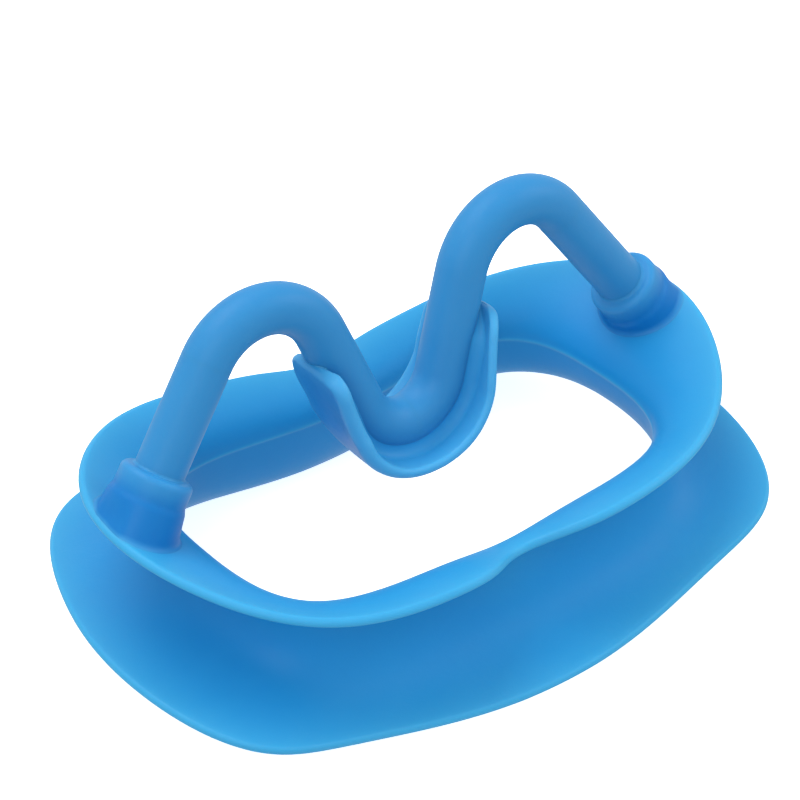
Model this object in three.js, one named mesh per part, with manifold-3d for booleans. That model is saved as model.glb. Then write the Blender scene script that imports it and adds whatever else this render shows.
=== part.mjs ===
// Intraoral lip and cheek retractor: one soft silicone ring with a waist that the lips sit in, and a
// W-shaped rod (two humps and a central U) that carries a tongue shield over the opening.
// Millimetres, +Z up. The ring lies on its larger flange; Z = 0 is the plane it rests on, X runs along the
// mouth's width, -Y is the side of the frenum relief. The origin is the centre of the footprint.
import * as THREE from 'three';
import { ParametricGeometry } from 'three/addons/geometries/ParametricGeometry.js';
import { mergeVertices } from 'three/addons/utils/BufferGeometryUtils.js';
import Module from 'manifold-3d';

const wasm = await Module();
wasm.setup();

// ---- driving dimensions ------------------------------------------------------------------------------
const SHIFT = [0, 0.44, 3.15];      // moves the curves below onto the footprint centre and the rest plane
const LIP_T = 1.25;                 // wall thickness at both lips
const NECK_T = 1.55;                // wall thickness at the waist
const GAP = 0.3;                    // parting gap between neighbouring regions of the moulding
const NECK_UP = 1.6;                // how far the waist band reaches above the waist line
const NECK_DOWN = 2.4;              // and below it
const ROUND_PTS = 3;                // points in each rounded lip
const SLICES = 72;                  // steps around the ring

// Upper (inner, vestibular) rim: x = sum a sin kT, y = -sum b cos kT, z = sum c cos kT, T = 0 at the front.
const RIM = {
  a: [44.12, -0.72, -0.77, 0.12, 0.19, -0.2],
  b: [2.62, 27.91, 1.11, -2.67, 0.04, -0.4, 0.11],
  c: [16.97, -0.33, -2.25, 0.76, 0.12],
  front: [4.6, 3.5], back: [0.54, 1.28],           // frenum reliefs: inward and downward depth
  relief: 0.11,                                      // their half width in T
  tilt: [-0.4, 0.48], lean: [-0.32, 0.86],           // slight unevenness of the soft upper rim
};
// Lower (outer) rim, rocker shaped: its ends stand higher than its front and back.
const FOOT = {
  a: [50.0, -0.52, 2.75, -0.19, 0.55, 0.3],
  b: [1.38, 34.98, -2.11, -2.25, 0.24, 0.01, 1.27],
  c: [0, -0.04, -2.78, 0.01, -0.11],
};
// Waist line between the two flanges.
const WAIST = {
  a: [38.01, 0.39, 2.33, 0.52, -0.21, -0.1],
  b: [1.22, 20.48, 0.44, -0.68, -0.15, -0.6, -0.03],
  c: [8.6, 0.0, 0.25, 0.0, 0.0],
};
// Handles of the wall's profile: value, its change with cos 2T, its change with cos T.
const HANDLES = {
  lipIn: [0.28, -0.12, -0.15], lipDown: [0.17, -0.08, 0.01], neckUp: [0.57, 0.12, 0.05],
  footIn: [0.78, -0.13, 0.02], footUp: [0.04, 0.02, 0], neckDown: [0.72, 0.12, -0.08],
};
// Bow: half path in its own plane from the bottom of the U: arc, straight inner leg, hump arc, straight outer leg.
const BOW = { r1: 6.86, f1: 1.2044, leg: 12.95, r2: 9.4, f2: 0.9549, outer: 15.6, y0: 0.3, lean: 0.176, bend: 0.0376, z0: 17.0 };
const ROD_R_MID = 3.31;             // rod radius at the bottom of the U
const ROD_R_END = 2.92;             // rod radius at its roots
const ROD_R_LEN = 56.2;             // path length over which it tapers
const PIVOT_DEPTH = 3.0;            // centre of the rounded root below the socket's mouth
const ROOT_R = 3.5;                 // rounded root of each rod
const CAVITY_R = 3.8;               // cavity round it
const MOUTH_R = 3.65;               // mouth of the cavity
const COLLAR_R = 4.72;              // stepped collar: upper ring
const COLLAR_L = 3.3;
const BASE_R = 5.3;                 // and the boss that grows out of the flange
const BASE_L = 15;
const SHIELD = { top: 17.4, corner: 3.2, mid: 4.35, t: 1.35, edge: 0.95 };
// Shield outline along the path of the U: distance from its bottom, half width towards -Y and its offset from the
// rod's centre line there, half width towards +Y and its offset.
const OUTLINE = [
  [-17.4, 6.2, 3.6, 6.0, 3.5], [-14, 5.9, 4.1, 5.9, 3.9], [-10, 6.1, 4.4, 6.3, 4.0], [-7, 6.8, 4.3, 6.8, 4.1],
  [-4, 7.2, 3.7, 7.2, 4.4], [0, 7.3, 3.0, 7.4, 4.2], [4, 7.1, 3.2, 7.4, 3.5], [7, 6.6, 3.5, 7.5, 3.1],
  [10, 6.3, 3.5, 7.6, 2.8], [14, 5.9, 3.3, 7.4, 2.7], [17.4, 5.7, 3.1, 7.0, 2.7],
];

// ---- materials ---------------------------------------------------------------------------------------
const silicone = (hex) => new THREE.MeshStandardMaterial({ color: hex, roughness: 0.48, metalness: 0 });
const BLUE = 0x2f8fdc, BLUE_ROD = 0x2f86cc, BLUE_SHIELD = 0x358fd8;

// ---- helpers -----------------------------------------------------------------------------------------
const V = (x, y, z) => new THREE.Vector3(x, y, z);
const harm = (c, T, f, k0) => c.reduce((s, v, i) => s + v * f((i + k0) * T), 0);
const wrap = (t) => Math.atan2(Math.sin(t), Math.cos(t));
function curve(c, T) {
  const p = V(harm(c.a, T, Math.sin, 1), -harm(c.b, T, Math.cos, 0), harm(c.c, T, Math.cos, 0));
  if (c.front) {
    const g0 = Math.exp(-((wrap(T) / c.relief) ** 2) / 2), g1 = Math.exp(-((wrap(T - Math.PI) / c.relief) ** 2) / 2);
    p.y += c.front[0] * g0 - c.back[0] * g1 + c.lean[0] * Math.sin(T) + c.lean[1] * Math.sin(2 * T);
    p.z += -c.front[1] * g0 - c.back[1] * g1 + c.tilt[0] * Math.sin(T) + c.tilt[1] * Math.sin(2 * T);
  }
  return p.add(V(...SHIFT));
}
const handle = (h, T) => h[0] + h[1] * Math.cos(2 * T) + h[2] * Math.cos(T);

// Two cubic curves make the wall's profile at T: lip to waist and waist to foot.
function profile(T) {
  const top = curve(RIM, T), mid = curve(WAIST, T), foot = curve(FOOT, T);
  const H = top.z - mid.z, D = mid.z - foot.z;
  const toMid = V(mid.x - top.x, mid.y - top.y, 0), toFoot = V(mid.x - foot.x, mid.y - foot.y, 0);
  const a = new THREE.CubicBezierCurve3(top,
    top.clone().addScaledVector(toMid, handle(HANDLES.lipIn, T)).add(V(0, 0, -handle(HANDLES.lipDown, T) * H)),
    mid.clone().add(V(0, 0, handle(HANDLES.neckUp, T) * H)), mid);
  const b = new THREE.CubicBezierCurve3(mid,
    mid.clone().add(V(0, 0, -handle(HANDLES.neckDown, T) * D)),
    foot.clone().addScaledVector(toFoot, handle(HANDLES.footIn, T)).add(V(0, 0, handle(HANDLES.footUp, T) * D)), foot);
  a.arcLengthDivisions = 60; b.arcLengthDivisions = 60;
  return { a, b, La: a.getLength(), Lb: b.getLength() };
}
const cache = new Map();
function prof(T) {
  const k = T.toFixed(6);
  if (!cache.has(k)) cache.set(k, profile(T));
  return cache.get(k);
}
function onProfile(T, l) {
  const p = prof(T);
  return l <= p.La ? p.a.getPointAt(Math.max(0, l / p.La)) : p.b.getPointAt(Math.min(1, (l - p.La) / p.Lb));
}
// Point of the wall at T and at distance l along the profile, moved d off the middle of the wall, outward > 0.
function wall(T, l, d) {
  const p = prof(T), e = 0.05, q = Math.min(Math.max(l, e), p.La + p.Lb - e);
  const P = onProfile(T, l), along = onProfile(T, q + e).sub(onProfile(T, q - e));
  const f = l <= p.La ? l / p.La : 1 + (l - p.La) / p.Lb, h = 0.01;
  const at = (t) => { const r = prof(t); return onProfile(t, f <= 1 ? f * r.La : r.La + (f - 1) * r.Lb); };
  const round = at(T + h).sub(at(T - h));
  return P.addScaledVector(round.cross(along).normalize(), -d);
}
const thick = (T, l) => {
  const p = prof(T), u = l <= p.La ? l / p.La : 1 - (l - p.La) / p.Lb;
  return LIP_T + (NECK_T - LIP_T) * THREE.MathUtils.smoothstep(u, 0.15, 1);
};

// Closed or pole-ended stack of rings becomes one closed body.
function loft(rings, closed) {
  const n = rings.length, m = rings[0].length, slices = closed ? n : n - 1;
  const g = new ParametricGeometry((u, v, t) => {
    t.copy(rings[Math.round(u * slices) % n][Math.round(v * m) % m]);
  }, slices, m);
  return clean(g);
}
function clean(g) {
  g.deleteAttribute('normal'); g.deleteAttribute('uv');
  g = mergeVertices(g, 1e-4);
  const I = g.index.array, P = g.attributes.position, keep = [];
  for (let i = 0; i < I.length; i += 3) if (I[i] !== I[i + 1] && I[i + 1] !== I[i + 2] && I[i] !== I[i + 2]) keep.push(I[i], I[i + 1], I[i + 2]);
  let vol = 0;
  const a = V(0, 0, 0), b = V(0, 0, 0), c = V(0, 0, 0);
  for (let i = 0; i < keep.length; i += 3) {
    a.fromBufferAttribute(P, keep[i]); b.fromBufferAttribute(P, keep[i + 1]); c.fromBufferAttribute(P, keep[i + 2]);
    vol += a.dot(b.cross(c));
  }
  if (vol < 0) for (let i = 0; i < keep.length; i += 3) [keep[i + 1], keep[i + 2]] = [keep[i + 2], keep[i + 1]];
  const out = new THREE.BufferGeometry();
  out.setAttribute('position', P); out.setIndex(keep);
  return out;
}
function solid(g) {
  return new wasm.Manifold(new wasm.Mesh({
    numProp: 3, vertProperties: Float32Array.from(g.attributes.position.array), triVerts: Uint32Array.from(g.index.array),
  }));
}
function unsolid(s) {
  const m = s.getMesh(), g = new THREE.BufferGeometry(), n = m.numProp, p = new Float32Array((m.vertProperties.length / n) * 3);
  for (let i = 0; i < p.length / 3; i++) for (let k = 0; k < 3; k++) p[3 * i + k] = m.vertProperties[n * i + k];
  g.setAttribute('position', new THREE.BufferAttribute(p, 3)); g.setIndex(Array.from(m.triVerts));
  return g;
}
function node(name, geometry, colour) {
  geometry.computeVertexNormals();
  const m = new THREE.Mesh(geometry, silicone(colour));
  m.name = name;
  return m;
}
// Steps around the ring, closer together at the front and back where the frenum reliefs are.
const stations = Array.from({ length: SLICES }, (_, i) => {
  const t = (2 * Math.PI * i) / SLICES;
  return t - 0.27 * Math.sin(2 * t);
});
// Band of the wall from distance from(T) to to(T), with a rounded lip at either end if asked for.
function band(from, to, steps, roundStart, roundEnd, grow = 0, growOut = 0) {
  return loft(stations.map((T) => {
    const a = from(T), b = to(T), ring = [];
    const off = (l, s) => s * thick(T, l) / 2 + (s > 0 ? growOut || grow : -grow);
    const cap = (l, dir) => {
      for (let k = 1; k <= ROUND_PTS; k++) {
        const w = (Math.PI * k) / (ROUND_PTS + 1), r = thick(T, l) / 2;
        ring.push(wall(T, l + dir * r * Math.sin(w) * 0.9, dir * r * Math.cos(w)));
      }
    };
    for (let i = 0; i <= steps; i++) { const l = a + ((b - a) * i) / steps; ring.push(wall(T, l, off(l, 1))); }
    if (roundEnd) cap(b, 1);
    for (let i = steps; i >= 0; i--) { const l = a + ((b - a) * i) / steps; ring.push(wall(T, l, off(l, -1))); }
    if (roundStart) cap(a, -1);
    return ring;
  }), true);
}

// ---- ring --------------------------------------------------------------------------------------------
const lip = LIP_T / 2;
const innerFlange = band(() => lip, (T) => prof(T).La - NECK_UP - GAP / 2, 6, true, false);
const neckBand = band((T) => prof(T).La - NECK_UP + GAP / 2, (T) => prof(T).La + NECK_DOWN - GAP / 2, 3, false, false);
const outerRaw = band((T) => prof(T).La + NECK_DOWN + GAP / 2, (T) => prof(T).La + prof(T).Lb - lip, 7, false, true);
// The lowest stretches of the foot are flat lands at front and back.
const floorCut = new THREE.BoxGeometry(160, 160, 10).toNonIndexed();
floorCut.translate(0, 0, -5);
const outerFlange = unsolid(solid(outerRaw).subtract(solid(clean(floorCut))));

// ---- bow path ----------------------------------------------------------------------------------------
const HALF = [BOW.r1 * BOW.f1, BOW.leg, BOW.r2 * (BOW.f1 + BOW.f2), BOW.outer];
const S_HUMP = HALF[0] + HALF[1] + BOW.r2 * BOW.f1;
const S_END = HALF[0] + HALF[1] + HALF[2] + BOW.outer;
function bowPoint(s) {
  const side = s < 0 ? -1 : 1;
  let t = Math.abs(s), x = 0, z = BOW.z0, h = 0;
  const arc = (r, turn, len) => {
    const u = Math.min(t, len), d = (turn * u) / r;
    x += turn * r * (Math.sin(h + d) - Math.sin(h)); z -= turn * r * (Math.cos(h + d) - Math.cos(h)); h += d; t -= u;
  };
  const line = (len) => { const u = Math.min(t, len); x += Math.cos(h) * u; z += Math.sin(h) * u; t -= u; };
  arc(BOW.r1, 1, HALF[0]);
  if (t > 0) line(HALF[1]);
  if (t > 0) arc(BOW.r2, -1, HALF[2]);
  if (t > 0) line(1e3);
  return V(side * x, BOW.y0 + BOW.lean * (z - BOW.z0) + BOW.bend * x, z).add(V(...SHIFT));
}
const bowDir = (s) => bowPoint(s + 0.02).sub(bowPoint(s - 0.02)).normalize();
const rodR = (s) => ROD_R_MID + (ROD_R_END - ROD_R_MID) * Math.min(1, Math.abs(s) / ROD_R_LEN);
// Cross-section axes of the rod: across is nearly Y, out points to the convex side of the U.
function bowAxes(s) {
  const t = bowDir(s), across = V(0, 1, 0).addScaledVector(t, -t.y).normalize();
  return { t, across, out: across.clone().cross(t) };
}
function rodRing(s, r, sides, at) {
  const { across, out } = bowAxes(s), c = at || bowPoint(s);
  return Array.from({ length: sides }, (_, i) => {
    const w = (2 * Math.PI * i) / sides;
    return c.clone().addScaledVector(across, r * Math.cos(w)).addScaledVector(out, r * Math.sin(w));
  });
}
const span = (a, b, step) => { const n = Math.max(1, Math.round(Math.abs(b - a) / step)); return Array.from({ length: n + 1 }, (_, i) => a + ((b - a) * i) / n); };

function arch(side) {
  const sides = 16, rings = [], s0 = S_HUMP + GAP / 2;
  const root = S_END + PIVOT_DEPTH, neck = root - Math.sqrt(ROOT_R ** 2 - ROD_R_END ** 2);
  rings.push(rodRing(side * s0, 0, sides));
  for (const s of [...span(s0, HALF[0] + HALF[1] + HALF[2], 2.4), ...span(HALF[0] + HALF[1] + HALF[2], neck, 6).slice(1)]) rings.push(rodRing(side * s, rodR(s), sides));
  const w0 = Math.asin(ROD_R_END / ROOT_R);
  for (let k = 1; k <= 5; k++) {
    const w = w0 + ((Math.PI - w0) * k) / 6;
    rings.push(rodRing(side * (root - ROOT_R * Math.cos(w)), ROOT_R * Math.sin(w), sides));
  }
  rings.push(rodRing(side * (root + ROOT_R), 0, sides));
  return loft(rings, false);
}
function guardRod() {
  const sides = 16, end = S_HUMP - GAP / 2, b = HALF[0] + HALF[1];
  const half = [...span(0, HALF[0], 1.7), ...span(HALF[0], b, 6.5).slice(1), ...span(b, end, 2.4).slice(1)];
  const all = [...half.slice(1).reverse().map((s) => -s), ...half];
  return loft([rodRing(-end, 0, sides), ...all.map((s) => rodRing(s, rodR(s), sides)), rodRing(end, 0, sides)], false);
}

// ---- tongue shield -----------------------------------------------------------------------------------
// A leaf that follows the outer side of the U, straight across at its two tops with rounded corners.
function shield() {
  const { top, corner, mid, t, edge } = SHIELD, W = 5, rings = [];
  const column = (s, k) => {
    const i = Math.max(0, OUTLINE.findIndex((r) => r[0] > s) - 1), j = s >= top ? OUTLINE.length - 2 : i;
    const u = THREE.MathUtils.smoothstep(s, OUTLINE[j][0], OUTLINE[j + 1][0]);
    return OUTLINE[j][k] * (1 - u) + OUTLINE[j + 1][k] * u;
  };
  const round = (s, w) => {
    const d = top - Math.abs(s);
    return d >= corner ? w : w - corner + Math.sqrt(Math.max(0, corner ** 2 - (corner - d) ** 2));
  };
  const stationsS = [];
  for (const k of [0, 0.25, 0.9, 2, 3.4]) stationsS.push(-top + k);
  for (const s of span(-top + 3.4, top - 3.4, 2)) stationsS.push(s);
  for (const k of [3.4, 2, 0.9, 0.25, 0]) stationsS.push(top - k);
  const list = [...new Set(stationsS.map((s) => +s.toFixed(4)))].sort((a, b) => a - b);
  const row = (s) => {
    const { across, out } = bowAxes(s), c = bowPoint(s), ring = [];
    const full = [column(s, 1), column(s, 3)], rim = [column(s, 2), column(s, 4)], w = full.map((v) => round(s, v));
    const mids = (y) => { const k = y < 0 ? 0 : 1; return mid + (rim[k] - mid) * (y / full[k]) ** 2; };
    const th = (y) => t + (edge - t) * (Math.abs(y) / w[y < 0 ? 0 : 1]);
    const at = (y, o) => ring.push(c.clone().addScaledVector(across, y).addScaledVector(out, o));
    const ys = Array.from({ length: 2 * W + 1 }, (_, i) => (i < W ? -w[0] * (1 - i / W) : w[1] * (i / W - 1)));
    for (const y of ys) at(y, mids(y) + th(y) / 2);
    at(w[1] + edge * 0.4, mids(w[1]));
    for (const y of ys.reverse()) at(y, mids(y) - th(y) / 2);
    at(-w[0] - edge * 0.4, mids(-w[0]));
    return ring;
  };
  for (const s of list) rings.push(row(s));
  const pole = (s) => { const { out } = bowAxes(s), c = bowPoint(s).addScaledVector(out, mid); return rings[0].map(() => c.clone()); };
  return loft([pole(-top), ...rings, pole(top)], false);
}

// ---- sockets -----------------------------------------------------------------------------------------
function lathe(points, segments = 24) {
  const g = new THREE.LatheGeometry(points.map(([r, z]) => new THREE.Vector2(r, z)), segments);
  return clean(g);
}
// Everything outside and below the flange's inner face, which trims the bosses to it.
const outside = solid(loft(stations.map((T) => {
  const out = curve(RIM, T).sub(curve(WAIST, T)).setZ(0).normalize().multiplyScalar(14), ring = [], end = prof(T).La + NECK_DOWN;
  for (let i = 0; i <= 9; i++) { const l = lip + ((end - lip) * i) / 9; ring.push(wall(T, l, -(thick(T, l) / 2 + GAP))); }
  ring.push(ring[9].clone().add(out), ring[0].clone().add(out).add(V(0, 0, 9)), ring[0].clone().add(V(0, 0, 9)));
  return ring;
}), true));
function socketParts(side) {
  const t = bowDir(side * (S_END - 0.5)).multiplyScalar(side), mouth = bowPoint(side * S_END), pivot = mouth.clone().addScaledVector(t, PIVOT_DEPTH);
  // local +Y of the lathe runs down the rod, from the mouth into the flange
  const place = new THREE.Matrix4().compose(mouth, new THREE.Quaternion().setFromUnitVectors(V(0, 1, 0), t), V(1, 1, 1));
  const put = (g) => { g.applyMatrix4(place); return solid(clean(g)); };
  const c = 0.9, b = COLLAR_L;
  const collar = put(lathe([[0, 0], [COLLAR_R - c, 0], [COLLAR_R - 0.27 * c, 0.27 * c], [COLLAR_R, c], [COLLAR_R, b - 0.5], [COLLAR_R - 0.35, b - GAP], [0, b - GAP]]));
  const boss = put(lathe([[0, b], [BASE_R - 0.8, b], [BASE_R - 0.22, b + 0.25], [BASE_R, b + 0.9], [BASE_R, BASE_L], [0, BASE_L]]));
  const cavity = put(new THREE.SphereGeometry(CAVITY_R, 16, 10).rotateX(Math.PI / 2).translate(0, PIVOT_DEPTH, 0))
    .add(put(lathe([[0, -3], [MOUTH_R + 0.35, -3], [MOUTH_R + 0.35, -0.05], [MOUTH_R, 0.45], [MOUTH_R, PIVOT_DEPTH], [0, PIVOT_DEPTH]])));
  return { collar: unsolid(collar.subtract(cavity)), boss: unsolid(boss.subtract(cavity).subtract(outside)), pivot };
}
const left = socketParts(-1), right = socketParts(1);

// ---- scene graph -------------------------------------------------------------------------------------
const retractor = new THREE.Group();
const ring = new THREE.Group(), bow = new THREE.Group(), guard = new THREE.Group();
ring.add(
  node('outer_flange', outerFlange, BLUE), node('neck_band', neckBand, BLUE), node('inner_flange', innerFlange, BLUE),
  node('socket_boss_left', left.boss, BLUE), node('socket_boss_right', right.boss, BLUE),
  node('socket_collar_left', left.collar, BLUE), node('socket_collar_right', right.collar, BLUE),
);
bow.add(node('arch_left', arch(-1), BLUE_ROD), node('arch_right', arch(1), BLUE_ROD));
guard.add(node('guard_rod', guardRod(), BLUE_ROD), node('tongue_shield', shield(), BLUE_SHIELD));
bow.add(guard);
ring.add(bow);
retractor.add(ring);

export default retractor;
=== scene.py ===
import math

import bpy
import numpy as np
from mathutils import Matrix, Vector
from mathutils.bvhtree import BVHTree


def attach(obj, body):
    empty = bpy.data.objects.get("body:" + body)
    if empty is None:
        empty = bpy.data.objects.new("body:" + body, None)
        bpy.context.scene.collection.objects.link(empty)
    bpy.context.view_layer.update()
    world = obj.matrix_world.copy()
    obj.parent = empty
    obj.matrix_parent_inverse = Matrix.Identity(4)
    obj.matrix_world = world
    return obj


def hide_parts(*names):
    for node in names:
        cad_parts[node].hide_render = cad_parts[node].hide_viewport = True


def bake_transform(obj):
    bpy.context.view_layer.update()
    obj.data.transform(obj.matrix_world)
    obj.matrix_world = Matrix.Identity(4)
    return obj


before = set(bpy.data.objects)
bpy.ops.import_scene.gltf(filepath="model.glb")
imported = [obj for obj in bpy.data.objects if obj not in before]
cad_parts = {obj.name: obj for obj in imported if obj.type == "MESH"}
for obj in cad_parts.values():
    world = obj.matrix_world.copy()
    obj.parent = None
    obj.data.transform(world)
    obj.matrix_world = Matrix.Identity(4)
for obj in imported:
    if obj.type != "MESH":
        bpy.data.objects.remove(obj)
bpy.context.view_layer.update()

MM = 0.001

# ---------------------------------------------------------------------------------------------------
# camera
# ---------------------------------------------------------------------------------------------------
AZ, EL, ROLL, DIST, FOCAL, TX, TY = 0.672558, 0.654838, 0.02826, 505.7587, 3911.464, 2.8779, 124.2179
SHIFT = np.array([0.0, 0.44, 3.15])


def make_camera():
    c = np.array([-math.sin(AZ) * math.cos(EL), -math.cos(AZ) * math.cos(EL), math.sin(EL)])
    r = np.array([math.cos(AZ), -math.sin(AZ), 0.0])
    u = np.cross(c, r)
    right = math.cos(ROLL) * r + math.sin(ROLL) * u
    up = -math.sin(ROLL) * r + math.cos(ROLL) * u
    place = (c * DIST - right * (TX * DIST / FOCAL) + up * (TY * DIST / FOCAL) + SHIFT) * MM
    data = bpy.data.cameras.new("camera")
    data.sensor_width = 36.0
    data.sensor_fit = "HORIZONTAL"
    data.lens = FOCAL * 36.0 / 800.0
    data.clip_start, data.clip_end = 0.02, 20.0
    cam = bpy.data.objects.new("camera", data)
    bpy.context.scene.collection.objects.link(cam)
    cam.matrix_world = Matrix((
        (right[0], up[0], c[0], place[0]),
        (right[1], up[1], c[1], place[1]),
        (right[2], up[2], c[2], place[2]),
        (0, 0, 0, 1)))
    bpy.context.scene.camera = cam
    return cam


make_camera()

# ---------------------------------------------------------------------------------------------------
# the wall of the ring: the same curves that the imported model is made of, sampled finely
# ---------------------------------------------------------------------------------------------------
LIP_T, NECK_T = 1.25, 1.55
RIM = dict(a=[44.12, -0.72, -0.77, 0.12, 0.19, -0.2], b=[2.62, 27.91, 1.11, -2.67, 0.04, -0.4, 0.11],
           c=[16.97, -0.33, -2.25, 0.76, 0.12], front=(4.6, 3.5), back=(0.54, 1.28), relief=0.11,
           tilt=(-0.4, 0.48), lean=(-0.32, 0.86))
FOOT = dict(a=[50.0, -0.52, 2.75, -0.19, 0.55, 0.3], b=[1.38, 34.98, -2.11, -2.25, 0.24, 0.01, 1.27],
            c=[0, -0.04, -2.78, 0.01, -0.11])
WAIST = dict(a=[36.07, 0.66, 3.33, 0.47, -0.16, 0.13], b=[1.62, 19.35, 0.90, -1.25, 0.35, -0.91, 0.24],
             c=[10.27, 0.0, -0.60, -0.49, -0.10])
HANDLES = dict(lipIn=(0.244, -0.076, -0.137), lipDown=(0.19, -0.115, 0.0), neckUp=(0.545, 0.176, 0.082),
               footIn=(0.761, -0.095, -0.035), footUp=(0.04, 0.02, 0.0), neckDown=(0.685, 0.141, -0.116))
K = 97                                    # samples of each of the profile's two curves


def wrap(t):
    return np.arctan2(np.sin(t), np.cos(t))


def curve(c, T):
    x = sum(v * np.sin((i + 1) * T) for i, v in enumerate(c["a"]))
    y = -sum(v * np.cos(i * T) for i, v in enumerate(c["b"]))
    z = sum(v * np.cos(i * T) for i, v in enumerate(c["c"]))
    if "front" in c:
        g0 = np.exp(-((wrap(T) / c["relief"]) ** 2) / 2)
        g1 = np.exp(-((wrap(T - math.pi) / c["relief"]) ** 2) / 2)
        y = y + c["front"][0] * g0 - c["back"][0] * g1 + c["lean"][0] * np.sin(T) + c["lean"][1] * np.sin(2 * T)
        z = z - c["front"][1] * g0 - c["back"][1] * g1 + c["tilt"][0] * np.sin(T) + c["tilt"][1] * np.sin(2 * T)
    return np.stack([x, y, z], -1) + SHIFT


def handle(k, T):
    h = HANDLES[k]
    return (h[0] + h[1] * np.cos(2 * T) + h[2] * np.cos(T))[:, None]


def bezier(p, t):
    t = t[None, :, None]
    p = [q[:, None] for q in p]
    return (1 - t) ** 3 * p[0] + 3 * (1 - t) ** 2 * t * p[1] + 3 * (1 - t) * t * t * p[2] + t ** 3 * p[3]


def profiles(T):
    """Points of the two profile curves at each T and their running lengths."""
    top, mid, foot = curve(RIM, T), curve(WAIST, T), curve(FOOT, T)
    up = np.array([0.0, 0.0, 1.0])
    H, D = (top - mid)[:, 2:3], (mid - foot)[:, 2:3]
    flat = np.array([1.0, 1.0, 0.0])
    to_mid, to_foot = (mid - top) * flat, (mid - foot) * flat
    t = np.linspace(0, 1, K)
    a = bezier([top, top + handle("lipIn", T) * to_mid - handle("lipDown", T) * H * up,
                mid + handle("neckUp", T) * H * up, mid], t)
    b = bezier([mid, mid - handle("neckDown", T) * D * up,
                foot + handle("footIn", T) * to_foot + handle("footUp", T) * D * up, foot], t)
    full = np.concatenate([a, b[:, 1:]], 1)
    run = np.concatenate([np.zeros((len(T), 1)), np.cumsum(np.linalg.norm(np.diff(full, axis=1), axis=2), 1)], 1)
    return full, run, run[:, K - 1], run[:, -1] - run[:, K - 1]


def sample(full, run, L):
    """Points at running length L (rows of T, columns of L), held at the end points past both ends."""
    out = np.empty(L.shape + (3,))
    for i in range(len(L)):
        l = np.clip(L[i], 0, run[i, -1])
        for k in range(3):
            out[i, :, k] = np.interp(l, run[i], full[i, :, k])
    return out


class Wall:
    """The middle surface of the wall: point(T, f) and its outward normal; f runs 0 lip, 1 waist, 2 foot."""

    def __init__(self, T):
        self.T = T
        self.full, self.run, self.La, self.Lb = profiles(T)
        h = 0.006
        self.near = [profiles(T + s * h) for s in (-1, 1)]

    def fraction(self, L):
        La, Lb = self.La[:, None], self.Lb[:, None]
        return np.where(L <= La, L / La, 1 + (L - La) / Lb)

    def length(self, F, La, Lb):
        La, Lb = La[:, None], Lb[:, None]
        return np.where(F <= 1, F * La, La + (F - 1) * Lb)

    def at(self, L):
        total = (self.La + self.Lb)[:, None]
        P = sample(self.full, self.run, L)
        e = 0.12
        q = np.clip(L, e, total - e)
        along = sample(self.full, self.run, q + e) - sample(self.full, self.run, q - e)
        F = self.fraction(np.clip(L, 0, total))
        r = [sample(f, run, self.length(F, La, Lb)) for f, run, La, Lb in self.near]
        n = np.cross(r[1] - r[0], along)
        n /= np.linalg.norm(n, axis=2, keepdims=True)
        return P, -n                        # outward

    def thick(self, L):
        La, Lb = self.La[:, None], self.Lb[:, None]
        u = np.clip(np.where(L <= La, L / La, 1 - (L - La) / Lb), 0, 1)
        s = np.clip((u - 0.15) / 0.85, 0, 1)
        return LIP_T + (NECK_T - LIP_T) * s * s * (3 - 2 * s)


def smooth(x, a, b):
    s = np.clip((x - a) / (b - a), 0, 1)
    return s * s * (3 - 2 * s)


def build(name, rings, closed_u, values=None, normals=None, cap=(False, False), flip=False):
    """Mesh from rings of points (millimetres). Each ring is closed; closed_u joins the last ring to the first."""
    rings = np.asarray(rings, float)
    n, m = rings.shape[:2]
    verts = rings.reshape(-1, 3) * MM
    i, j = np.meshgrid(np.arange(n if closed_u else n - 1), np.arange(m), indexing="ij")
    i2, j2 = (i + 1) % n, (j + 1) % m
    quads = np.stack([i * m + j, i2 * m + j, i2 * m + j2, i * m + j2], -1).reshape(-1, 4)
    faces = [tuple(q) for q in (quads[:, ::-1] if flip else quads).tolist()]
    extra = []
    for k, end in enumerate((0, n - 1)):
        if cap[k]:
            centre = len(verts) + len(extra)
            extra.append(rings[end].mean(0) * MM)
            for q in range(m):
                f = (end * m + q, end * m + (q + 1) % m, centre)
                if (k == 1) != flip:
                    f = f[::-1]
                faces.append(f)
    verts = np.concatenate([verts, np.array(extra).reshape(-1, 3)]) if extra else verts
    me = bpy.data.meshes.new(name)
    me.from_pydata(verts.tolist(), [], faces)
    me.validate()
    me.update()
    ob = bpy.data.objects.new(name, me)
    bpy.context.scene.collection.objects.link(ob)
    for p in me.polygons:
        p.use_smooth = True
    for key, val in (values or {}).items():
        full = np.zeros(len(verts), np.float32)
        full[: n * m] = np.asarray(val, np.float32).reshape(-1)
        at = me.attributes.new(key, "FLOAT", "POINT")
        at.data.foreach_set("value", full)
    # outward faces
    import bmesh
    bm = bmesh.new()
    bm.from_mesh(me)
    if bm.calc_volume(signed=True) < 0:
        bmesh.ops.reverse_faces(bm, faces=bm.faces)
    bm.to_mesh(me)
    bm.free()
    if normals is not None:
        full = np.zeros((len(verts), 3))
        full[: n * m] = np.asarray(normals).reshape(-1, 3)
        if len(verts) > n * m:
            co = np.array([v.normal for v in me.vertices])
            full[n * m:] = co[n * m:]
        me.normals_split_custom_set_from_vertices(full.tolist())
    return ob


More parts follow.
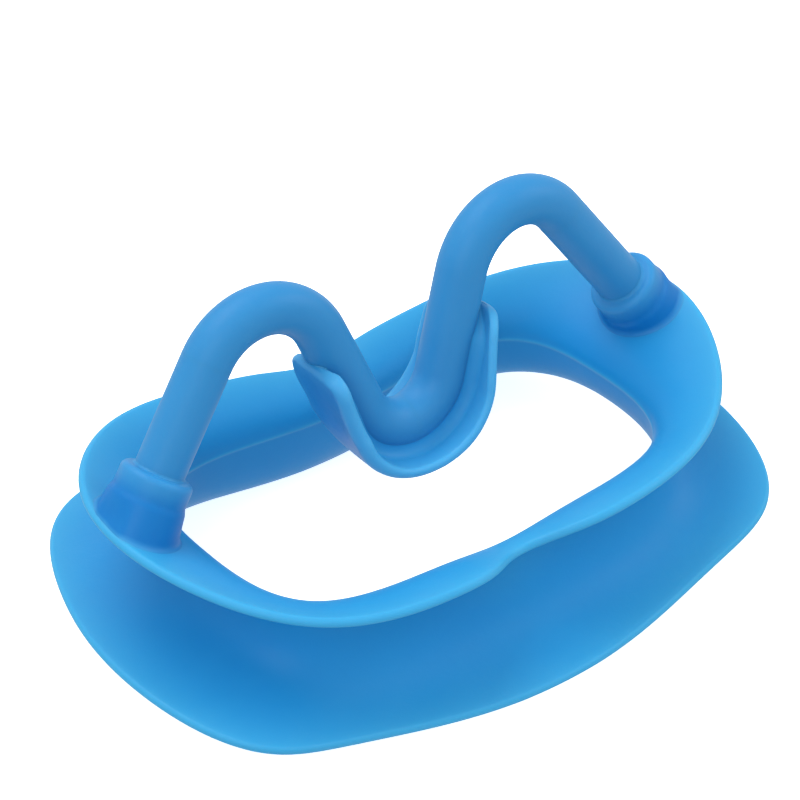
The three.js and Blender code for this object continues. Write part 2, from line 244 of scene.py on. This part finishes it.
def ring_mesh():
    N = 384
    t = 2 * math.pi * np.arange(N) / N
    T = t - 0.27 * np.sin(2 * t)
    w = Wall(T)
    total = w.La + w.Lb
    lip = LIP_T / 2
    # stations along the profile: dense at the lips and at the parting line of the mould
    def spread(a, b, n, power=1.0):
        u = np.linspace(0, 1, n)
        return a[:, None] + (b - a)[:, None] * u[None, :] ** power
    near = np.array([-0.8, -0.5, -0.34, -0.22, -0.12, 0.0, 0.12, 0.22, 0.34, 0.5, 0.8])
    start, end = np.full(N, lip), total - lip
    up = spread(start, w.La - 1.2, 18)
    mid = w.La[:, None] + near[None, :]
    down = spread(w.La + 1.2, end, 24)
    L = np.concatenate([up, mid, down], 1)
    P, n = w.at(L)
    th = w.thick(L)[..., None]
    La = w.La[:, None]
    ridge = 0.11 * np.exp(-(((L - La) / 0.17) ** 2) / 2)[..., None]       # mould parting line, inner side
    bead = 0.10 * np.exp(-(((L - 1.9) / 0.9) ** 2) / 2)[..., None]
    outer = P + n * (th / 2 + bead * 0.5)
    inner = P - n * (th / 2 + ridge + bead * 0.5)
    angles = np.pi * np.arange(1, 9) / 9

    def cap(L0, sign):
        rows = []
        for a in angles:
            l = L0 + sign * lip * math.sin(a) * 0.92
            p, nn = w.at(l[:, None])
            k = w.thick(l[:, None])[..., None] / 2
            rows.append(p + nn * k * (sign * math.cos(a)))
        return np.concatenate(rows, 1)

    foot_cap, lip_cap = cap(end, 1), cap(start, -1)
    loop = np.concatenate([outer, foot_cap, inner[:, ::-1], lip_cap], 1)
    loop[..., 2] = np.maximum(loop[..., 2], 0.0)                          # flat lands where the foot rests
    tot = total[:, None]
    dist = np.concatenate([np.minimum(L, tot - L), np.zeros((N, 8)), np.minimum(L, tot - L)[:, ::-1], np.zeros((N, 8))], 1)
    foot_side = np.concatenate([smooth(L, La, tot), np.ones((N, 8)), smooth(L, La, tot)[:, ::-1], np.zeros((N, 8))], 1)
    line = np.exp(-(((L - La) / 0.15) ** 2) / 2)
    none = np.zeros((N, 8))
    seam = np.concatenate([np.zeros_like(line), none, line[:, ::-1], none], 1)
    # rim and wall: painted light, paler towards the lips; rim over about 2.6 mm, wall over about 9 mm
    ob = build("ring_moulding", loop, True, {"seam": seam, "rim": np.exp(-dist / 2.6), "foot": foot_side,
                                             "wall": np.exp(-dist / 9.0)})
    return ob, w


ring, wall = ring_mesh()
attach(ring, "ring")
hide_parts("outer_flange", "neck_band", "inner_flange")

# ---------------------------------------------------------------------------------------------------
# rod: a U between two humps, on legs that end in the sockets
# ---------------------------------------------------------------------------------------------------
BOW = dict(r1=6.86, f1=1.2044, leg=12.95, r2=9.4, f2=0.9549, outer=15.6, y0=0.3, lean=0.176, bend=0.0376, z0=17.0)
R_MID, R_END, R_LEN = 3.31, 3.26, 56.2
HALF = [BOW["r1"] * BOW["f1"], BOW["leg"], BOW["r2"] * (BOW["f1"] + BOW["f2"]), BOW["outer"]]
S_HUMP = HALF[0] + HALF[1] + BOW["r2"] * BOW["f1"]
S_LEG = HALF[0] + HALF[1] + HALF[2]
S_END = S_LEG + BOW["outer"]
S_MOUTH = {-1: S_END - 1.0, 1: S_END + 1.4}   # where the collars sit along the two legs


def bow_point(s):
    side = -1.0 if s < 0 else 1.0
    t, x, z, h = abs(s), 0.0, BOW["z0"], 0.0
    for kind, r, length in (("arc", BOW["r1"], HALF[0]), ("line", 0, HALF[1]), ("arc", -BOW["r2"], HALF[2]), ("line", 0, 1e3)):
        u = min(t, length)
        if kind == "arc":
            turn, rr = (1 if r > 0 else -1), abs(r)
            d = turn * u / rr
            x += turn * rr * (math.sin(h + d) - math.sin(h))
            z -= turn * rr * (math.cos(h + d) - math.cos(h))
            h += d
        else:
            x += math.cos(h) * u
            z += math.sin(h) * u
        t -= u
        if t <= 0:
            break
    return np.array([side * x, BOW["y0"] + BOW["lean"] * (z - BOW["z0"]) + BOW["bend"] * x, z]) + SHIFT


def bow_axes(s):
    t = bow_point(s + 0.05) - bow_point(s - 0.05)
    t /= np.linalg.norm(t)
    across = np.array([0.0, 1.0, 0.0]) - t * t[1]
    across /= np.linalg.norm(across)
    return t, across, np.cross(across, t)


def rod_r(s):
    return R_MID + (R_END - R_MID) * min(1.0, abs(s) / R_LEN)


SIDES = 56


def tube(name, s_list, shrink=None, cap=(True, True)):
    rings, norms, path = [], [], []
    w = 2 * np.pi * np.arange(SIDES) / SIDES
    for k, s in enumerate(s_list):
        _, across, out = bow_axes(s)
        c = bow_point(s)
        d = np.cos(w)[:, None] * across + np.sin(w)[:, None] * out
        r = rod_r(s) - (shrink(s) if shrink else 0.0)
        rings.append(c + d * r)
        norms.append(d)
        path.append(np.full(SIDES, s))
    return build(name, rings, False, {"rim": np.zeros((len(s_list), SIDES))}, np.array(norms), cap=cap)


def rod_pieces():
    made = {}
    for side, word in ((-1, "left"), (1, "right")):
        # stem: from inside the socket up the outer leg
        s0, s1 = S_MOUTH[side] + 1.4, S_LEG - 1.0
        shrink = lambda s: 0.03 if abs(s) < S_LEG else 0.0
        n = int((s0 - s1) / 0.5)
        stem = tube(f"rod_stem_{word}", [side * (s0 + (s1 - s0) * k / n) for k in range(n + 1)], shrink)
        mouth, up = bow_point(side * S_MOUTH[side]) * MM, bow_point(side * (S_MOUTH[side] - 8.0)) * MM
        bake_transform(stem)
        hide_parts(f"arch_{word}")
        # hump and inner leg down to the bottom of the U
        a, b = S_LEG, 0.0
        n = int((a - b) / 0.42)
        s_list = [side * (a + (b - a) * k / n) for k in range(n + 1)]
        hump = tube(f"rod_hump_{word}", s_list)
        p, q = bow_point(side * (S_HUMP + 4.6)) * MM, bow_point(side * (S_HUMP - 4.6)) * MM
        p, q = np.array([p[0], 0.00545, 0.042675]), np.array([q[0], 0.00545, 0.042675])
        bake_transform(hump)
        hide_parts("guard_rod")
        made[word] = (stem, hump)
    return made


rods = rod_pieces()

# ---------------------------------------------------------------------------------------------------
# tongue shield: a leaf moulded round the outer side of the U
# ---------------------------------------------------------------------------------------------------
SHIELD = dict(left=18.8, right=17.4, corner=3.2, mid=4.2, t=1.5, edge=1.3)
# distance along the U from its bottom; half width and offset from the rod's centre line on the -Y side and the +Y side
OUTLINE = np.array([
    (-19.6, 6.7, 3.1, 3.6, 2.9), (-17, 6.5, 3.5, 4.5, 3.0), (-14, 6.2, 3.9, 5.3, 3.2), (-10, 6.2, 4.2, 5.5, 3.1),
    (-7, 6.8, 4.2, 6.0, 3.3), (-4, 7.1, 3.5, 6.9, 4.0), (0, 7.1, 2.6, 7.4, 4.2), (4, 7.0, 2.9, 7.4, 3.5),
    (7, 6.4, 3.3, 7.4, 3.1), (10, 5.9, 3.1, 7.3, 2.8), (14, 5.2, 2.8, 6.9, 2.7), (17.4, 4.9, 2.6, 6.3, 2.7)])


def column(s, k):
    """Outline value k at s, eased smoothly between its stations."""
    g = np.linspace(-19.6, 17.4, 371)
    v = np.interp(g, OUTLINE[:, 0], OUTLINE[:, k])
    w = np.hanning(41)
    pad = np.pad(v, 20, mode="reflect", reflect_type="odd")
    return float(np.interp(s, g, np.convolve(pad, w / w.sum(), mode="valid")))


def shield_mesh():
    S = SHIELD
    cr = S["corner"]
    ends = {-1: S["left"], 1: S["right"]}
    near = [0.02, 0.08, 0.17, 0.3, 0.45, 0.62, 0.85, 1.15, 1.55, 2.0, 2.6, 3.2]
    s_list = np.unique(np.round(np.concatenate(
        [k * (ends[k] - np.concatenate([near, np.arange(3.65, ends[k], 0.45)])) for k in (-1, 1)]), 4))
    # shade: painted shade, carried to the material as the 'shade' attribute
    rings, rims, shade = [], [], []
    M = 36
    for s in s_list:
        _, across, out = bow_axes(s)
        c = bow_point(s)
        dd = ends[-1 if s < 0 else 1] - abs(s)
        mid = S["mid"] - 0.9 * float(smooth(-s, 4.0, 12.0))       # the plate lies closer to the rod up the left leg
        full = [column(s, 1), column(s, 3)]
        rim = [column(s, 2), column(s, 4)]
        w = [v if dd >= cr else v - cr + math.sqrt(max(0.0, cr * cr - (cr - dd) ** 2)) for v in full]
        thin = 1.0 if dd > 0.7 else math.sqrt(max(0.0, 1 - (1 - dd / 0.7) ** 2)) * 0.97 + 0.03
        R = rod_r(s)
        rho = 0.25 + 1.0 * float(smooth(dd, 0.3, 5.0))
        fade = float(smooth(dd, 0.0, 1.8))

        up_left = float(smooth(-s, 2.0, 9.0))
        edge = [S["edge"] + 0.8 * up_left, S["edge"]]
        rim[0] -= 0.25 * up_left

        def middle(y):
            k = 0 if y < 0 else 1
            return mid + (rim[k] - mid) * (abs(y) / full[k]) ** 2.2

        def th(y):
            k = 0 if y < 0 else 1
            return (S["t"] + (edge[k] - S["t"]) * (abs(y) / w[k]) ** 2) * thin

        def base(y):
            return middle(y) - th(y) / 2

        def inner(sign):
            """The inner face from the edge to the rod: plate, then a fillet that runs into the rod's flank."""
            k = 0 if sign < 0 else 1
            Rs = R - 0.06
            yf = R + rho
            for _ in range(14):
                q = base(sign * min(yf, w[k])) - rho
                yf = math.sqrt(max(0.2, (Rs + rho) ** 2 - q * q))
            yf = min(yf, w[k] * 0.96)
            rows = [(w[k] + (yf - w[k]) * (j / 16) ** 0.9, None) for j in range(0, 17)]
            rows = [(y, base(sign * y)) for y, _ in rows]
            turn = math.acos(max(-1.0, min(1.0, -q / (Rs + rho))))
            b0 = base(sign * yf)
            for j in range(1, 13):
                a = turn * j / 12
                y, o = yf - rho * math.sin(a), q + rho * math.cos(a)
                rows.append((y, b0 + (o - b0) * fade))
            y1, o1 = rows[-1]
            for f in (0.82, 0.5):
                rows.append((y1 * f, o1 * f + (b0 - 0.2) * (1 - f) * (1 - fade)))
            return rows

        u = np.linspace(-1, 1, 2 * M + 1)
        ys = np.where(u < 0, -w[0] * np.abs(u) ** 0.95, w[1] * np.abs(u) ** 0.95)
        # sh: painted shade, full on the outer face up the left leg, part way round the rim there, none on the inner
        # face; rr is raised there so that face gets less paling
        pts, rr, sh = [], [], []
        for y in ys:
            pts.append(c + across * y + out * (middle(y) + th(y) / 2))
            rr.append(w[0 if y < 0 else 1] - abs(y) + 1.2 * up_left)
            sh.append(up_left)
        for side in (1, -1):
            k = 0 if side < 0 else 1
            e = th(side * w[k]) / 2
            if side < 0:
                right_face, left_face = inner(1), inner(-1)
                for y, o in right_face:
                    pts.append(c + across * y + out * o)
                    rr.append(w[1] - y)
                    sh.append(0.0)
                pts.append(c + out * min(left_face[-1][1], right_face[-1][1]) * 0.5)
                rr.append(9.0)
                sh.append(0.0)
                for y, o in left_face[::-1]:
                    pts.append(c - across * y + out * o)
                    rr.append((w[0] - y) * 0.7)
                    sh.append(0.0)
            for j in range(1, 9):
                a = math.pi * j / 9
                o = middle(side * w[k]) + side * e * math.cos(a)
                pts.append(c + across * (side * (w[k] + e * math.sin(a))) + out * o)
                rr.append(0.0)
                sh.append(up_left * 0.5 * (1 + side * math.cos(a)))
        rings.append(pts)
        rims.append(np.exp(-np.minimum(np.array(rr), dd) / 1.5))
        shade.append(sh)
    return build("tongue_shield_leaf", rings, False, {"rim": np.array(rims), "shade": np.array(shade)}, cap=(True, True))


shield = shield_mesh()
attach(shield, "guard")
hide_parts("tongue_shield")

# ---------------------------------------------------------------------------------------------------
# sockets: stepped collar on a boss that flares into the inner flange
# ---------------------------------------------------------------------------------------------------


def wall_tree():
    me = ring.data
    return BVHTree.FromPolygons([v.co.copy() for v in me.vertices], [tuple(p.vertices) for p in me.polygons])


TREE = wall_tree()
COLLAR_R, COLLAR_L, STEP, TAPER = 4.72, 3.2, 0.22, 0.17


def socket_mesh(side, word):
    mouth = bow_point(side * S_MOUTH[side])
    t, across, out = bow_axes(side * (S_END - 0.5))
    if np.dot(t, mouth - bow_point(side * (S_END - 3))) < 0:
        t = -t
    A = np.array([0.0, 0.0, 1.0]) - t * t[2]
    A /= np.linalg.norm(A)
    B = np.cross(t, A)
    M = 120
    phi = 2 * np.pi * np.arange(M) / M
    radial = np.cos(phi)[:, None] * A + np.sin(phi)[:, None] * B
    dirn = Vector(t)

    def depth(r):
        """Distance from the mouth's plane down to the flange along the socket's axis, at radius r[k]."""
        r = np.broadcast_to(r, M)
        out_d = np.full(M, np.nan)
        for k in range(M):
            o = mouth + radial[k] * r[k] + t * 1.5
            hit = TREE.ray_cast(Vector(o) * MM, dirn, 0.014)
            if hit[0] is not None:
                out_d[k] = 1.5 + (hit[0] - Vector(o) * MM).length / MM
        return out_d

    def blur(v, n):
        for _ in range(n):
            v = 0.25 * np.roll(v, 1) + 0.5 * v + 0.25 * np.roll(v, -1)
        return v

    # table of depths by radius; where the flange's lip is passed, the last depth is kept
    radii = np.arange(3.0, 8.3, 0.1)
    table = np.array([depth(r) for r in radii])
    reach = np.zeros(M)
    for k in range(M):
        col = table[:, k]
        last = 0
        for q in range(1, len(radii)):
            if np.isnan(col[q]) or abs(col[q] - col[q - 1]) > 0.45:
                break
            last = q
        reach[k] = radii[last]
        table[last:, k] = col[last]

    def height(r):
        return np.array([np.interp(min(r[k], reach[k]), radii, table[:, k]) for k in range(M)])

    rows, fade = [], []

    def ring_at(r, h, f=0.0):
        rows.append(mouth + radial * np.broadcast_to(r, M)[:, None] + t * np.broadcast_to(h, M)[:, None])
        fade.append(f)

    r0, c = rod_r(S_END), 0.9
    for r, h in ((r0 - 0.6, 0.8), (r0 - 0.1, -0.2), (r0 - 0.02, -0.45), (r0 + 0.02, -0.33), (r0 + 0.09, -0.18),
                 (r0 + 0.22, -0.06), (r0 + 0.42, -0.01)):
        ring_at(r, h)
    for k in range(0, 9):
        a = math.pi / 2 * k / 8
        ring_at(COLLAR_R - c + c * math.sin(a), c - c * math.cos(a))

    def boss(h):
        """Radius of the socket at each depth: collar, soft step, slow taper outward."""
        return COLLAR_R + STEP * smooth(h, COLLAR_L - 0.5, COLLAR_L + 0.7) + TAPER * np.maximum(h - COLLAR_L, 0.0)

    h_wall = height(np.full(M, COLLAR_R + STEP))
    h_end = h_wall.copy()
    for _ in range(6):
        h_end = 0.5 * (h_end + height(np.minimum(boss(h_end), reach)))
    h_end = blur(h_end, 4)
    f = np.clip(h_end - c - 0.5, 0.15, 0.75)          # fillet at the wall
    top = h_end - f
    over = blur(np.maximum(0.0, boss(h_end) - (reach - 0.12)), 3)     # beyond the flange's lip the boss is drawn in to it

    def eased(h):
        return boss(h) - over * smooth(h, COLLAR_L, np.maximum(top, COLLAR_L + 0.4))

    for k in range(1, 31):
        h = c + (top - c) * k / 30
        ring_at(eased(h), h)
    rt = eased(top)
    rb = np.minimum(boss(h_end) + f * 0.9, np.maximum(reach - 0.12, rt - 0.05))
    rb = blur(rb, 4)
    hb = height(np.minimum(rb, reach))
    corner_h = np.minimum(h_end, hb + 0.4)
    for k in range(1, 11):
        u = k / 10
        r = (1 - u) ** 2 * rt + 2 * u * (1 - u) * eased(h_end) + u * u * rb
        h = (1 - u) ** 2 * top + 2 * u * (1 - u) * corner_h + u * u * (hb + 0.02)
        ring_at(np.minimum(r, np.maximum(rb, rt)), h, u)
    ring_at(rb + 0.05, hb + 0.12, 1.0)
    ring_at(rb - 0.6, hb + 0.5, 1.0)
    n = len(rows)
    pts = np.array(rows)
    # colour attributes of the flange, with their painted light, carry on up the flare
    me = ring.data
    co = np.zeros(len(me.vertices) * 3)
    me.vertices.foreach_get("co", co)
    co = co.reshape(-1, 3) / MM
    near = np.linalg.norm(co - mouth, axis=1) < 20
    values = {}
    for key in ("rim", "wall"):
        v = np.zeros(len(me.vertices), np.float32)
        me.attributes[key].data.foreach_get("value", v)
        src, val = co[near], v[near]
        got = np.zeros((n, M))
        for i in range(n):
            if fade[i] > 0:
                for k in range(M):
                    j = np.argmin(((src - pts[i, k]) ** 2).sum(1))
                    got[i, k] = val[j]
        got = np.array([blur(row, 3) for row in got])
        values[key] = got * np.array(fade)[:, None]
    depth_mm = (pts - mouth) @ t
    # painted light: the collar's top is painted paler, fading out by about 3.6 mm below the mouth, as light shining
    # through its lip
    values["rim"] = np.maximum(values["rim"], 0.7 * (1.0 - smooth(depth_mm, 0.6, 3.6)))
    ob = build(f"socket_{word}", pts, False, values, cap=(True, True))
    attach(ob, "ring")
    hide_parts(f"socket_boss_{word}", f"socket_collar_{word}")
    print("SOCKET", word, "wall", round(h_wall.min(), 2), round(h_wall.max(), 2), "reach", round(reach.min(), 2), round(reach.max(), 2))
    return ob


sockets = [socket_mesh(-1, "left"), socket_mesh(1, "right")]


# ---------------------------------------------------------------------------------------------------
# silicone
# ---------------------------------------------------------------------------------------------------


def srgb(r, g, b):
    f = lambda v: (v / 12.92 if v <= 0.04045 else ((v + 0.055) / 1.055) ** 2.4)
    return (f(r / 255), f(g / 255), f(b / 255), 1.0)


def silicone(name, deep, body, pale, light=None, rim_gain=0.3, rough=0.42, seed=0.0):
    light = light or pale
    m = bpy.data.materials.new(name)
    m.use_nodes = True
    nt = m.node_tree
    nodes, links = nt.nodes, nt.links
    bsdf = nodes["Principled BSDF"]
    coord = nodes.new("ShaderNodeTexCoord")
    place = nodes.new("ShaderNodeMapping")
    place.inputs["Location"].default_value = (seed, seed * 0.7, -seed)
    links.new(coord.outputs["Object"], place.inputs["Vector"])

    def noise(scale, detail, rough_=0.5):
        n = nodes.new("ShaderNodeTexNoise")
        n.inputs["Scale"].default_value = scale
        n.inputs["Detail"].default_value = detail
        n.inputs["Roughness"].default_value = rough_
        links.new(place.outputs["Vector"], n.inputs["Vector"])
        return n

    def maths(op, a, b, clamp=False):
        n = nodes.new("ShaderNodeMath")
        n.operation = op
        n.use_clamp = clamp
        for k, v in enumerate((a, b)):
            if isinstance(v, (int, float)):
                n.inputs[k].default_value = v
            else:
                links.new(v, n.inputs[k])
        return n.outputs[0]

    def mix(fac, a, b):
        n = nodes.new("ShaderNodeMix")
        n.data_type = "RGBA"
        for key, v in (("Factor", fac), ("A", a), ("B", b)):
            socket = [q for q in n.inputs if q.name == key and q.type == ("VALUE" if key == "Factor" else "RGBA")][0]
            if isinstance(v, (int, float, tuple)):
                socket.default_value = v
            else:
                links.new(v, socket)
        return [q for q in n.outputs if q.type == "RGBA"][0]

    broad = noise(38.0, 3.0)            # about 26 mm: pigment drift
    cloud = noise(170.0, 4.0)           # about 6 mm: flow marks in the moulding
    grain = noise(2600.0, 3.0, 0.6)     # 0.4 mm: satin surface of the mould
    fine = noise(7800.0, 2.0, 0.6)
    rim = nodes.new("ShaderNodeAttribute")
    rim.attribute_name = "rim"
    # attribute 'wall': painted light, a broad paling of the wall towards its lips
    painted_light_wall = nodes.new("ShaderNodeAttribute")
    painted_light_wall.attribute_name = "wall"
    # attribute 'shade': painted shade on the shield's outer face up the left leg
    thick = nodes.new("ShaderNodeAttribute")
    thick.attribute_name = "shade"
    seam = nodes.new("ShaderNodeAttribute")
    seam.attribute_name = "seam"
    base = mix(maths("ADD", maths("MULTIPLY", broad.outputs["Fac"], 0.7), maths("MULTIPLY", cloud.outputs["Fac"], 0.3)), deep, body)
    # specks of pigment, sparse
    spot = nodes.new("ShaderNodeTexVoronoi")
    spot.inputs["Scale"].default_value = 420.0
    links.new(place.outputs["Vector"], spot.inputs["Vector"])
    dots = nodes.new("ShaderNodeMapRange")
    dots.inputs["From Min"].default_value = 0.05
    dots.inputs["From Max"].default_value = 0.0
    dots.inputs["To Min"].default_value = 0.0
    dots.inputs["To Max"].default_value = 0.10
    links.new(spot.outputs["Distance"], dots.inputs["Value"])
    base = mix(dots.outputs["Result"], base, pale)
    # thin lips let light through and look paler
    lip = maths("MULTIPLY", rim.outputs["Fac"], rim_gain, clamp=True)
    lip = maths("MULTIPLY", lip, maths("ADD", 0.86, maths("MULTIPLY", cloud.outputs["Fac"], 0.28)), clamp=True)
    # painted light: paler towards the lips over about 9 mm, darker in the middle of the wall
    base = mix(maths("MULTIPLY", painted_light_wall.outputs["Fac"], 0.5, clamp=True), base, light)
    # painted shade: mixes towards a deeper blue where the 'shade' attribute is set
    base = mix(maths("MULTIPLY", thick.outputs["Fac"], 0.8, clamp=True), base, (deep[0] * 0.25, deep[1] * 0.72, deep[2] * 0.92, 1.0))
    colour = mix(lip, base, pale)
    colour = mix(maths("MULTIPLY", seam.outputs["Fac"], 0.55, clamp=True), colour, pale)
    links.new(colour, bsdf.inputs["Base Color"])
    r = nodes.new("ShaderNodeMapRange")
    r.inputs["From Min"].default_value = 0.3
    r.inputs["From Max"].default_value = 0.7
    r.inputs["To Min"].default_value = rough - 0.05
    r.inputs["To Max"].default_value = rough + 0.07
    links.new(cloud.outputs["Fac"], r.inputs["Value"])
    rr = maths("ADD", r.outputs["Result"], maths("MULTIPLY", maths("SUBTRACT", grain.outputs["Fac"], 0.5), 0.08))
    links.new(rr, bsdf.inputs["Roughness"])
    b1 = nodes.new("ShaderNodeBump")
    b1.inputs["Strength"].default_value = 0.10
    b1.inputs["Distance"].default_value = 0.00012
    links.new(grain.outputs["Fac"], b1.inputs["Height"])
    b2 = nodes.new("ShaderNodeBump")
    b2.inputs["Strength"].default_value = 0.12
    b2.inputs["Distance"].default_value = 0.0006
    links.new(cloud.outputs["Fac"], b2.inputs["Height"])
    links.new(b1.outputs["Normal"], b2.inputs["Normal"])
    b3 = nodes.new("ShaderNodeBump")
    b3.inputs["Strength"].default_value = 0.05
    b3.inputs["Distance"].default_value = 0.00005
    links.new(fine.outputs["Fac"], b3.inputs["Height"])
    links.new(b2.outputs["Normal"], b3.inputs["Normal"])
    links.new(b3.outputs["Normal"], bsdf.inputs["Normal"])
    bsdf.inputs["IOR"].default_value = 1.41
    bsdf.inputs["Specular IOR Level"].default_value = 0.22
    bsdf.inputs["Subsurface Weight"].default_value = 0.22
    bsdf.inputs["Subsurface Radius"].default_value = (0.15, 0.8, 1.0)
    bsdf.inputs["Subsurface Scale"].default_value = 0.0012
    bsdf.inputs["Sheen Weight"].default_value = 0.0
    bsdf.inputs["Sheen Roughness"].default_value = 0.5
    bsdf.inputs["Sheen Tint"].default_value = (0.75, 0.88, 1.0, 1.0)
    return m


RING_MAT = silicone("silicone_ring", srgb(3, 122, 193), srgb(9, 134, 200), srgb(68, 165, 206), seed=0.0)
SOCKET_MAT = silicone("silicone_socket", srgb(8, 105, 176), srgb(18, 117, 184), srgb(72, 158, 204), rim_gain=0.6, seed=0.12)
ROD_MAT = silicone("silicone_rod", srgb(38, 122, 180), srgb(54, 135, 189), srgb(84, 158, 202), seed=0.31)
SHIELD_MAT = silicone("silicone_shield", srgb(36, 138, 199), srgb(50, 150, 208), srgb(84, 168, 212), rim_gain=0.5, seed=0.57)


def paint(ob, mat):
    ob.data.materials.clear()
    ob.data.materials.append(mat)


paint(ring, RING_MAT)
for ob in sockets:
    paint(ob, SOCKET_MAT)
for stem, hump in rods.values():
    paint(stem, ROD_MAT)
    paint(hump, ROD_MAT)
paint(shield, SHIELD_MAT)

# ---------------------------------------------------------------------------------------------------
# stage and light
# ---------------------------------------------------------------------------------------------------


def floor():
    me = bpy.data.meshes.new("floor")
    s = 6.0
    me.from_pydata([(-s, -s, 0), (s, -s, 0), (s, s, 0), (-s, s, 0)], [], [(0, 1, 2, 3)])
    ob = bpy.data.objects.new("floor", me)
    ob.location.z = -0.0002
    bpy.context.scene.collection.objects.link(ob)
    m = bpy.data.materials.new("floor_paper")
    m.use_nodes = True
    b = m.node_tree.nodes["Principled BSDF"]
    b.inputs["Base Color"].default_value = (0.93, 0.93, 0.93, 1)
    b.inputs["Roughness"].default_value = 0.9
    b.inputs["Specular IOR Level"].default_value = 0.1
    b.inputs["Emission Color"].default_value = (1, 1, 1, 1)
    b.inputs["Emission Strength"].default_value = 0.78
    me.materials.append(m)
    ob.visible_diffuse = False
    ob.visible_glossy = False


def area(name, loc, aim, size, watts, colour=(1, 1, 1)):
    d = bpy.data.lights.new(name, "AREA")
    d.shape = "RECTANGLE"
    d.size, d.size_y = size
    d.energy = watts
    d.color = colour
    ob = bpy.data.objects.new(name, d)
    bpy.context.scene.collection.objects.link(ob)
    ob.location = loc
    ob.rotation_euler = (Vector(aim) - Vector(loc)).to_track_quat("-Z", "Y").to_euler()
    return ob


floor()
area("key_top_back", (-0.12, 0.24, 0.64), (0, 0, 0.02), (0.55, 0.45), 2.55)
area("fill_right", (0.55, -0.25, 0.40), (0, 0, 0.02), (0.4, 0.4), 1.2)
area("fill_left", (-0.45, -0.35, 0.50), (0, 0, 0.02), (0.4, 0.4), 1.3)
world = bpy.data.worlds.new("world")
bpy.context.scene.world = world
world.use_nodes = True
world.node_tree.nodes["Background"].inputs["Color"].default_value = (1.0, 1.0, 1.0, 1)
world.node_tree.nodes["Background"].inputs["Strength"].default_value = 0.88
bpy.context.scene.view_settings.view_transform = "Standard"
bpy.context.scene.view_settings.look = "None"

bpy.context.view_layer.update()
